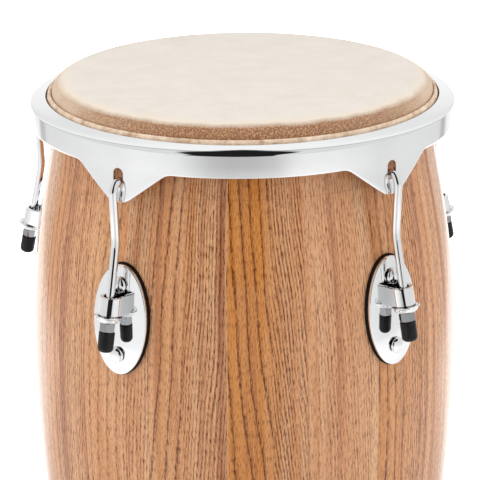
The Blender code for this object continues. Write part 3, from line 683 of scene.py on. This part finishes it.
def buildRim():
    sheet, lip, edge = rim["sheet"], rim["lip"], rim["lipEdge"]
    shoulder = lip[3][1]
    reference = -rim["bandBottom"]
    crease = 0.85 * reference + 0.15 * shoulder
    rows = 6
    half = sheet / 2
    slope = radians(rim["lipSlope"])
    centre = (lip[0][0] - edge * cos(slope), lip[0][1] - edge * sin(slope))
    outline = arc(centre, edge, 180, rim["lipSlope"], 6)
    outline += bezier(*lip, 22)[1:]
    outline += [(rim["radius"], crease)]
    flat = [crease + (reference + half - crease) * k / rows for k in range(1, rows + 1)]
    outline += [(rim["radius"], z) for z in flat]
    outline += arc((rim["radius"] - half, reference + half), half, 0, -180, 8)[1:-1]
    outline += [(rim["radius"] - sheet, z) for z in flat[::-1]]
    outline += [(rim["radius"] - sheet, crease), (rim["radius"] - sheet, shoulder - 0.001)]
    outline += [(rim["radius"] - 1.4 * sheet, shoulder + 0.0003), (centre[0] - edge, centre[1] - sheet)]
    bm = lathe(outline, rim["steps"])
    for vert in bm.verts:
        if vert.co.z > crease - 0.0001:
            continue
        turn = Vector((1, 0)).angle_signed(Vector((vert.co.x, vert.co.y))) * -1 - pi / 2
        part = (turn + pi / drum["lugs"]) % (2 * pi / drum["lugs"]) - pi / drum["lugs"]
        bottom = tabBottom(part * rim["radius"])
        below = crease - vert.co.z
        straight = crease - (reference + half)
        wanted = crease - (bottom + half)
        moved = below * wanted / straight if below <= straight else below + wanted - straight
        vert.co.z = crease - moved
        grow = rimFace(vert.co.z) - rim["radius"]
        flat = Vector((vert.co.x, vert.co.y)).normalized() * grow
        vert.co.x += flat.x
        vert.co.y += flat.y
    piece = finishPiece("rimHoop", bm, "rim", chromeFinish, ["rim"], place=drumPlace)
    carve(piece, slotCutter(), "DIFFERENCE")


def slotCutter():
    # five upright slots with round tops, as one mesh
    half = rim["slotWidth"] / 2
    bottom = -(rim["hang"] + 2 * drum["gap"])
    outline = arc((0.0, -rim["slotTop"] - half), half, 0, 180, 16) + [(-half, bottom), (half, bottom)]
    bm = bmesh.new()
    for lug in range(drum["lugs"]):
        near = rim["radius"] - 3 * rim["sheet"]
        ring = [bm.verts.new((near, y, z)) for y, z in outline]
        face = bm.faces.new(ring)
        made = bmesh.ops.extrude_face_region(bm, geom=[face])["geom"]
        moved = [g for g in made if isinstance(g, bmesh.types.BMVert)]
        bmesh.ops.translate(bm, verts=moved, vec=(6 * rim["sheet"], 0, 0))
        bmesh.ops.transform(bm, matrix=lugPlace(lug), verts=ring + moved)
    return meshObject("slotCutter", bm)


buildRoll()
buildRim()
print("rim and skin hem made")

# Hook rods: places in a lug's frame are (radius, height), and distances count down from the knee
hookRod = {
    "radius": 0.0030,
    "bend": 0.0070,
    "innerLeg": 0.0045,
    "knee": (0.1632, -0.0730),
    "kneeBend": 0.022,
    "lean": radians(12.976),
    "washerAt": 0.05089,
    "nutAt": 0.05579,
    "capAt": 0.06259,
    "end": 0.07299,
    "sides": 32,
}
rodDirection = Vector((sin(hookRod["lean"]), -cos(hookRod["lean"])))


def rodPoint(distance):
    return tuple(Vector(hookRod["knee"]) + rodDirection * distance)


def rodPlace(lug, distance):
    # a placement on a rod whose +Z points down along it
    radius, height = rodPoint(distance)
    return lugPlace(lug) @ Matrix.Translation((radius, 0, height)) @ Matrix.Rotation(pi - hookRod["lean"], 4, "Y")


def sweepBar(path, radii, sides):
    # a round bar along a path in the XZ plane, with a radius for each of its points
    rings = []
    for i, point in enumerate(path):
        before, after = path[max(i - 1, 0)], path[min(i + 1, len(path) - 1)]
        run = Vector((after[0] - before[0], after[1] - before[1])).normalized()
        ring = []
        for k in range(sides):
            side = radii[i] * cos(2 * pi * k / sides)
            lift = radii[i] * sin(2 * pi * k / sides)
            ring.append((point[0] + run.y * side, lift, point[1] - run.x * side))
        rings.append(ring)
    return ringSkin(rings, capped=True)


def roundedEnds(path, radius, chamfer):
    # adds points before a path's ends where the bar narrows, and gives each point's radius
    first = Vector(path[0]).lerp(Vector(path[1]), chamfer / (Vector(path[1]) - Vector(path[0])).length)
    last = Vector(path[-1]).lerp(Vector(path[-2]), chamfer / (Vector(path[-2]) - Vector(path[-1])).length)
    points = [path[0], tuple(first)] + path[1:-1] + [tuple(last), path[-1]]
    radii = [radius - chamfer] + [radius] * (len(points) - 2) + [radius - chamfer]
    return points, radii


def buildHook(lug):
    hangZ = -rim["hang"]
    centre = (rimFace(hangZ) - rim["sheet"] / 2, hangZ - hookRod["bend"] + hookRod["radius"])
    legs = arc(centre, hookRod["bend"], 180, 0, 24)
    knee = Vector(hookRod["knee"])
    run = (knee - Vector(legs[-1])).normalized()
    start = knee - run * hookRod["kneeBend"] / 2
    bend = bezier(tuple(start), tuple(knee), tuple(knee), rodPoint(hookRod["kneeBend"] / 2), 16)
    path = [(legs[0][0], legs[0][1] - hookRod["innerLeg"])] + legs + bend + [rodPoint(hookRod["end"])]
    points, radii = roundedEnds(path, hookRod["radius"], 0.0006)
    bm = sweepBar(points, radii, hookRod["sides"])
    finishPiece(f"hookRod{lug + 1}", bm, f"hook_{lug + 1}", chromeFinish, [f"hook_rod_{lug + 1}"],
                place=lugPlace(lug))


rodCap = {
    "radius": 0.0056,
    "length": 0.0142,
    "endWall": 0.0035,
    "round": 0.0032,
    "lip": 0.0005,
    "steps": 48,
}


def buildCap(lug):
    bore = hookRod["radius"] + drum["gap"]
    depth = rodCap["length"] - rodCap["endWall"]
    side, end, corner = rodCap["radius"], rodCap["length"], rodCap["round"]
    outline = [(0, depth), (bore, depth), (bore, 0.0)]
    outline += arc((side - rodCap["lip"], rodCap["lip"]), rodCap["lip"], -90, 0, 4)
    outline += arc((side - corner, end - corner), corner, 0, 90, 10) + [(0, end)]
    bm = lathe(outline, rodCap["steps"], closed=False)
    finishPiece(f"rodCap{lug + 1}", bm, f"hook_{lug + 1}", rubberFinish, [f"rod_cap_{lug + 1}"],
                place=rodPlace(lug, hookRod["capAt"]))


nut = {
    "width": 0.0100,
    "height": 0.0065,
    "chamfer": 0.0009,
    "clearance": 0.0004,
    "steps": 72,
}


def hexNut(height, bore):
    # a nut along +Z whose corners are turned off at both ends
    flat = nut["width"] / 2
    turned = flat * 0.95
    levels = [nut["chamfer"] * k / 4 for k in range(5)]
    heights = levels + [height - z for z in levels[::-1]]
    rings = []

    def ring(radiusAt, z):
        turns = [2 * pi * k / nut["steps"] for k in range(nut["steps"])]
        return [(radiusAt(a) * cos(a), radiusAt(a) * sin(a), z) for a in turns]

    for z in heights:
        depth = min(z, height - z)
        limit = turned + depth * 1.7 if depth < nut["chamfer"] * 0.999 else flat * 2
        rings.append(ring(lambda a: min(limit, flat / cos((a + pi / 6) % (pi / 3) - pi / 6)), z))
    rings += [ring(lambda a: bore, height), ring(lambda a: bore, 0.0)]
    return ringSkin(rings + rings[:1])


def buildRodNut(lug):
    bm = hexNut(nut["height"], hookRod["radius"] + nut["clearance"])
    finishPiece(f"rodNut{lug + 1}", bm, f"nut_{lug + 1}", nutFinish, [f"rod_nut_{lug + 1}"], 20,
                rodPlace(lug, hookRod["nutAt"]))


washer = {
    "radius": 0.0100,
    "sheet": 0.0018,
    "dish": 0.0028,
    "hole": 0.0038,
    "flat": 0.0055,
    "steps": 96,
}


def buildWasher(lug):
    sheet, top, reach = washer["sheet"], washer["dish"] + washer["sheet"], washer["radius"]
    flat, hole = washer["flat"], washer["hole"]
    outline = [(hole, washer["dish"]), (flat - 0.0006, washer["dish"])]
    outline += bezier((flat - 0.0002, washer["dish"]), (flat + 0.0012, washer["dish"]), (reach - 0.0026, 0.0), (reach - 0.0008, 0.0), 8)
    outline += arc((reach - 0.0005, 0.0005), 0.0005, -90, 30, 5)
    outline += bezier((reach - 0.0006, 0.0013), (reach - 0.0020, 0.0016), (flat + 0.0030, top - 0.0010), (flat + 0.0012, top), 8)
    outline += [(hole + 0.0002, top), (hole, top - 0.0002)]
    bm = lathe(outline, washer["steps"])
    finishPiece(f"dishedWasher{lug + 1}", bm, "drum", chromeFinish, [f"dished_washer_{lug + 1}"],
                place=rodPlace(lug, hookRod["washerAt"]))


# Lug plates, each with its strap, on a rubber gasket
plate = {
    "width": 0.0445,
    "height": 0.0790,
    "drop": 0.1305,
    "sheet": 0.0018,
    "dome": 0.0004,
    "edgeRound": 0.0007,
    "steps": 96,
}
gasket = {
    "thickness": 0.0022,
    "margin": 0.0008,
    "edgeRound": 0.0006,
}
strap = {
    "width": 0.0160,
    "sheet": 0.0023,
    "top": -0.1090,
    "bottom": -0.1210,
    "nose": 0.17958,
    "tip": 0.0016,
    "topSlope": radians(4.5),
    "rim": 0.0006,
}
bolt = {
    "radius": 0.0030,
    "headRadius": 0.0058,
    "headHeight": 0.0032,
    "headRim": 0.0007,
    "drops": (0.1055, 0.1555),
    "nutHeight": 0.0050,
    "end": 0.0020,
    "clearance": 0.0005,
    "steps": 64,
}
plateBack = 2 * drum["gap"] + gasket["thickness"]


def lugPoint(radius, sideways, z):
    turn = sideways / radius
    return (radius * cos(turn), radius * sin(turn), z)


def ovalSolid(halfWidth, halfHeight, back, heightAt, shares):
    # an oval sheet that follows the shell. heightAt gives its face's distance from the shell at a share of its size

    def ring(share, outward):
        points = []
        for k in range(plate["steps"]):
            a = 2 * pi * k / plate["steps"]
            z = -plate["drop"] + halfHeight * share * sin(a)
            points.append(lugPoint(shellRadius(z) + outward, halfWidth * share * cos(a), z))
        return points

    rings = [ring(share, back) for share in (0.0, 0.5, shares[0])]
    rings += [ring(share, heightAt(share)) for share in shares + (0.0,)]
    return ringSkin(rings)


def boltPlace(lug, drop, outward):
    # a placement on a mounting bolt's axis whose +Z points outwards, at a distance from the shell
    slope = atan((shellRadius(-drop - 0.004) - shellRadius(-drop + 0.004)) / 0.008)
    turn = Matrix.Rotation(pi / 2 - slope, 4, "Y")
    return lugPlace(lug) @ Matrix.Translation((shellRadius(-drop), 0, -drop)) @ turn @ Matrix.Translation((0, 0, outward))


def boltHoles(lugs, inner, outer):
    # bars where the mounting bolts' holes are, as one cutter
    bm = bmesh.new()
    for lug in lugs:
        for drop in bolt["drops"]:
            place = boltPlace(lug, drop, (inner + outer) / 2)
            size = bolt["radius"] + bolt["clearance"]
            bmesh.ops.create_cone(bm, cap_ends=True, segments=32, radius1=size, radius2=size,
                                  depth=outer - inner, matrix=place)
    return meshObject("boltHoles", bm)


def strapBar(lug):
    # the loop of strip, as a rounded section carried round a U
    half = strap["width"] / 2
    middle = half - strap["sheet"] / 2
    centre = strap["nose"] - half
    root = shellRadius(-plate["drop"] + 0.0125) + plateBack + plate["sheet"] / 2
    path = [((root + (centre - root) * k / 3, middle), (0, 1)) for k in range(3)]
    path += [((centre + middle * cos(radians(a)), middle * sin(radians(a))), (cos(radians(a)), sin(radians(a))))
             for a in range(90, -91, -6)]
    path += [((root + (centre - root) * k / 3, -middle), (0, -1)) for k in (2, 1, 0)]
    edge, thick = strap["rim"], strap["sheet"] / 2
    corner = [(thick, 1.3 * edge)]
    corner += [(thick - edge + edge * cos(radians(a)), edge - edge * sin(radians(a))) for a in (0, 30, 60, 90)]
    rings = []
    for (r, y), (nx, ny) in path:
        ring = []
        back = strap["nose"] - r
        top = strap["top"] - back * tan(strap["topSlope"])
        bottom = strap["bottom"] - back * tan(hookRod["lean"])
        section = [(across, bottom + down) for across, down in corner]
        section += [(-across, bottom + down) for across, down in corner[::-1]]
        section += [(-across, top - down) for across, down in corner]
        section += [(across, top - down) for across, down in corner[::-1]]
        for across, z in section:
            share = (z - bottom) / (top - bottom)
            shift = strap["tip"] * (1 - 2 * share)
            ring.append((r + nx * across + shift, y + ny * across, z))
        rings.append(ring)
    bm = ringSkin(rings, capped=True)
    bmesh.ops.transform(bm, matrix=lugPlace(lug), verts=bm.verts)
    return meshObject("strapBar", bm)


def buildPlate(lug):
    front = plateBack + plate["sheet"]

    def face(share):
        edge = max(0.0, (share - 0.972) / 0.028)
        return front + plate["dome"] * (1 - share * share) - plate["edgeRound"] * (1 - sqrt(1 - 0.98 * edge * edge))

    shares = (1.0, 0.9992, 0.997, 0.994, 0.99, 0.985, 0.98, 0.972, 0.96, 0.9, 0.8, 0.65, 0.45, 0.2)
    bm = ovalSolid(plate["width"] / 2, plate["height"] / 2, plateBack, face, shares)
    piece = finishPiece(f"lugPlate{lug + 1}", bm, "drum", chromeFinish, [f"lug_{lug + 1}_plate"],
                        place=lugPlace(lug))
    carve(piece, strapBar(lug), "UNION")
    carve(piece, boltHoles([lug], -shell["wall"] / 2, shell["wall"]), "DIFFERENCE")


def buildGasket(lug):
    front = drum["gap"] + gasket["thickness"]

    def face(share):
        edge = max(0.0, (share - 0.97) / 0.03)
        return front - gasket["edgeRound"] * (1 - sqrt(1 - 0.98 * edge * edge))

    margin = gasket["margin"]
    bm = ovalSolid(plate["width"] / 2 + margin, plate["height"] / 2 + margin, drum["gap"], face,
                   (1.0, 0.998, 0.993, 0.985, 0.97, 0.8, 0.5, 0.2))
    piece = finishPiece(f"lugGasket{lug + 1}", bm, "drum", gasketFinish, [f"lug_{lug + 1}_gasket"],
                        place=lugPlace(lug))
    carve(piece, boltHoles([lug], -shell["wall"] / 2, shell["wall"]), "DIFFERENCE")


def wallAlongBolt(drop):
    slope = atan((shellRadius(-drop - 0.004) - shellRadius(-drop + 0.004)) / 0.008)
    return shell["wall"] * cos(slope) + 0.00015


def buildBolts(lug):
    for name, drop in zip(("upper", "lower"), bolt["drops"]):
        share = (plate["drop"] - drop) / (plate["height"] / 2)
        seat = plateBack + plate["sheet"] + plate["dome"] * (1 - share * share) + 2 * drum["gap"]
        length = seat + wallAlongBolt(drop) + drum["gap"] + bolt["nutHeight"] + bolt["end"]
        size, rise, edge = bolt["headRadius"], bolt["headHeight"], bolt["headRim"]
        outline = [(0, -length), (bolt["radius"] - 0.0005, -length), (bolt["radius"], 0.0005 - length)]
        outline += [(bolt["radius"], 0.0), (size - 0.0002, 0.0), (size, 0.0002)]
        outline += bezier((size, edge), (size, 0.7 * rise), (size * 0.6, rise), (0, rise), 14)
        bm = lathe(outline, bolt["steps"], closed=False)
        finishPiece(f"{name}Bolt{lug + 1}", bm, "drum", chromeFinish, [f"{name}_bolt_{lug + 1}"],
                    place=boltPlace(lug, drop, seat))
        bm = hexNut(bolt["nutHeight"], bolt["radius"] + drum["gap"])
        inward = -wallAlongBolt(drop) - drum["gap"] - bolt["nutHeight"]
        finishPiece(f"{name}BoltNut{lug + 1}", bm, "drum", steelFinish, [f"{name}_bolt_nut_{lug + 1}"], 20,
                    boltPlace(lug, drop, inward))


def buildFootRing():
    # a rubber channel pressed over the shell's lower edge
    bottom = -drum["collarZ"]
    thick, corner = shell["ringThickness"], 0.0012
    outer = shell["footRadius"] + drum["gap"]
    inner = shell["footRadius"] - shell["wall"] - drum["gap"]
    top = bottom + shell["ringHeight"]
    rise = shell["ringHeight"] * shell["footFlare"]
    outline = arc((inner - thick + corner, bottom + corner), corner, 180, 270, 6)
    outline += arc((outer + thick - corner, bottom + corner), corner, -90, 0, 6)
    outline += arc((outer + thick + rise - corner, top - corner), corner, 0, 90, 5) + [(outer + rise, top)]
    outline += [(outer, shellBottom - drum["gap"]), (inner, shellBottom - drum["gap"]), (inner + rise, top)]
    outline += arc((inner - thick + rise + corner, top - corner), corner, 90, 180, 5)
    bm = lathe(outline, 256)
    finishPiece("footRing", bm, "drum", rubberFinish, ["foot_ring"], place=drumPlace)


buildShell()
print("shell made")
for lug in range(drum["lugs"]):
    buildHook(lug)
    buildCap(lug)
    buildRodNut(lug)
    buildWasher(lug)
    buildPlate(lug)
    buildGasket(lug)
    buildBolts(lug)
buildFootRing()
print("lugs and foot ring made")

# Light, floor and camera
studio = {
    "distance": 1.13,
    "focal": 116.81,
    "rise": 0.29901,
    "pitch": 20.503,
    "roll": 0.529,
    "side": -0.0027,
    "turn": -3.735,
    "opening": (
        (-180, -0.20, -0.20), (-95, -0.20, -0.20), (-90, 0.30, 0.30), (-24, 0.34, 0.30), (-12, 0.50, 0.28), (20, 0.50, 0.28), (60, 0.36, 0.24), (90, 0.31, 0.25),
        (106, 0.24, 0.21), (118, 0.16, 0.13), (127, 0.04, 0.04), (131, -0.20, -0.20),
    ),
    "dark": 0.015,
    "backdrop": (0.0, 0.997, 0.07),
    "backdropEdge": (
        (0.545, 0.78), (0.56, 0.52), (0.60, 0.52), (0.62, 1.0), (0.69, 1.0), (0.745, 0.92), (0.80, 0.86), (0.86, 0.85),
        (0.93, 0.95), (0.97, 1.0),
    ),
    "floorLight": (
        (-180, 0.66), (-144, 0.62), (-137, 0.59), (-133, 0.19), (-129, 0.19), (-125, 0.41), (-98, 0.49), (-82, 0.52),
        (-65, 0.55), (-56, 0.60), (-42, 0.58), (-33, 0.53), (-25, 0.40), (-17, 0.26), (-8, 0.19), (5, 0.205),
        (16, 0.29), (25, 0.50), (33, 0.58), (50, 0.57), (56, 0.53), (65, 0.48), (73, 0.44), (98, 0.46),
        (122, 0.42), (126, 0.41), (129, 0.16), (133, 0.16), (137, 0.57), (144, 0.66), (180, 0.68),
    ),
    "glow": 1.05,
    "glowShift": 0.16,
    "glowWidth": ((0.53, 1.0), (0.68, 0.0)),
    "glowStart": ((0.40, 0.0), (0.70, 1.0)),
    "seenFloor": 0.72,
}


def studioWorld():
    # a grey room with a white backdrop and a dark opening in front and overhead, all of which polished steel shows
    world = bpy.data.worlds.new("studio")
    world.use_nodes = True
    nodes, links = world.node_tree.nodes, world.node_tree.links
    turn = nodes.new("ShaderNodeVectorRotate")
    turn.rotation_type = "Z_AXIS"
    turn.inputs["Angle"].default_value = radians(-studio["turn"])
    links.new(nodes.new("ShaderNodeTexCoord").outputs["Generated"], turn.inputs["Vector"])
    split = nodes.new("ShaderNodeSeparateXYZ")
    links.new(turn.outputs[0], split.inputs[0])
    sideways, away, up = split.outputs
    towards = makeNode(nodes, "ShaderNodeVectorMath", operation="DOT_PRODUCT")
    links.new(turn.outputs[0], towards.inputs[0])
    towards.inputs[1].default_value = studio["backdrop"]
    share = mathNode(nodes, links, "MULTIPLY_ADD", towards.outputs["Value"], 0.5, 0.5)
    walls = [(0.5 + 0.5 * edge, grey(light)) for edge, light in studio["backdropEdge"]]
    room = rampNode(nodes, links, share, walls)
    rise = mathNode(nodes, links, "ARCTAN2", up, mathNode(nodes, links, "MULTIPLY", away, -1.0))
    share = mathNode(nodes, links, "MULTIPLY_ADD", rise, 1 / radians(360), 0.5)
    stops = [(0.5 + angle / 360, (left + 0.5, right + 0.5, 0, 1)) for angle, left, right in studio["opening"]]
    widths = nodes.new("ShaderNodeSeparateColor")
    links.new(rampNode(nodes, links, share, stops), widths.inputs[0])
    left = mathNode(nodes, links, "ADD", widths.outputs[0], sideways)
    right = mathNode(nodes, links, "SUBTRACT", widths.outputs[1], sideways)
    inside = mathNode(nodes, links, "MINIMUM", left, right)
    open = rampNode(nodes, links, inside, [(0.485, grey(1.0)), (0.525, grey(0.0))])
    strength = mathNode(nodes, links, "MULTIPLY", room, open)
    strength = mathNode(nodes, links, "MAXIMUM", strength, studio["dark"])
    seen = nodes.new("ShaderNodeLightPath").outputs["Is Camera Ray"]
    strength = mathNode(nodes, links, "MAXIMUM", strength, seen)
    nodes["Background"].inputs["Color"].default_value = grey(1.0)
    links.new(strength, nodes["Background"].inputs["Strength"])
    return world


def buildStudio():
    scene = bpy.context.scene
    camera = bpy.data.cameras.new("studioCamera")
    camera.lens = studio["focal"]
    camera.sensor_width = 36
    camera.clip_end = 50
    holder = bpy.data.objects.new("studioCamera", camera)
    scene.collection.objects.link(holder)
    around = Matrix.Rotation(radians(studio["turn"]), 4, "Z")
    spot = drumPlace @ around @ Matrix.Translation((studio["side"], -studio["distance"], studio["rise"]))
    aim = Matrix.Rotation(radians(90 - studio["pitch"]), 4, "X") @ Matrix.Rotation(radians(-studio["roll"]), 4, "Z")
    holder.matrix_world = spot @ aim
    scene.camera = holder

    bm = bmesh.new()
    bmesh.ops.create_grid(bm, x_segments=1, y_segments=1, size=12)
    mesh = bpy.data.meshes.new("floor")
    bm.to_mesh(mesh)
    bm.free()
    floor = bpy.data.objects.new("floor", mesh)
    floor.location.z = -0.0005
    floor.rotation_euler.z = radians(studio["turn"])
    scene.collection.objects.link(floor)
    pale, nodes, links, shader = newMaterial("paleFloor")
    setInputs(shader, Base_Color=(0.55, 0.55, 0.55, 1), Roughness=0.9, Emission_Color=(1, 1, 1, 1))
    split = nodes.new("ShaderNodeSeparateXYZ")
    links.new(nodes.new("ShaderNodeTexCoord").outputs["Object"], split.inputs[0])
    round = mathNode(nodes, links, "ARCTAN2", split.outputs[0], mathNode(nodes, links, "MULTIPLY", split.outputs[1], -1.0))
    round = mathNode(nodes, links, "MULTIPLY_ADD", round, 0.5 / pi, 0.5)
    sweep = rampNode(nodes, links, round, [(0.5 + angle / 360, grey(light)) for angle, light in studio["floorLight"]])
    # a bright patch behind the drum, which whitens the lacquer where it is seen edge on
    sideways = mathNode(nodes, links, "ADD", split.outputs[0], studio["glowShift"])
    sideways = mathNode(nodes, links, "MULTIPLY", mathNode(nodes, links, "ABSOLUTE", sideways), 0.5)
    glow = rampNode(nodes, links, sideways, [(at, grey(share)) for at, share in studio["glowWidth"]])
    start = rampNode(nodes, links, split.outputs[1], [(at, grey(share)) for at, share in studio["glowStart"]])
    glow = mathNode(nodes, links, "MULTIPLY", glow, start)
    strength = mathNode(nodes, links, "MULTIPLY_ADD", glow, studio["glow"], sweep)
    seen = mathNode(nodes, links, "MULTIPLY", nodes.new("ShaderNodeLightPath").outputs["Is Camera Ray"], studio["seenFloor"])
    links.new(mathNode(nodes, links, "MAXIMUM", strength, seen), shader.inputs["Emission Strength"])
    mesh.materials.append(pale)

    scene.world = studioWorld()

    def softBox(name, place, target, size, power):
        light = bpy.data.lights.new(name, "AREA")
        light.shape = "RECTANGLE"
        light.size, light.size_y = size
        light.energy = power
        obj = bpy.data.objects.new(name, light)
        scene.collection.objects.link(obj)
        obj.location = place
        obj.rotation_euler = (Vector(target) - Vector(place)).to_track_quat("-Z", "Y").to_euler()
        obj.visible_glossy = False

    middle = (0, 0, 0.55)
    softBox("leftBox", (-1.6, -0.6, 1.0), middle, (0.9, 1.6), 10)
    softBox("rightBox", (1.6, -0.6, 1.0), middle, (0.9, 1.6), 7)
    softBox("frontBox", (0.1, -2.2, 1.5), middle, (1.2, 1.2), 9)
    softBox("topBox", (0.0, -0.3, 2.2), middle, (1.6, 1.6), 11)
    scene.view_settings.view_transform = "Standard"


buildStudio()
print("studio made")
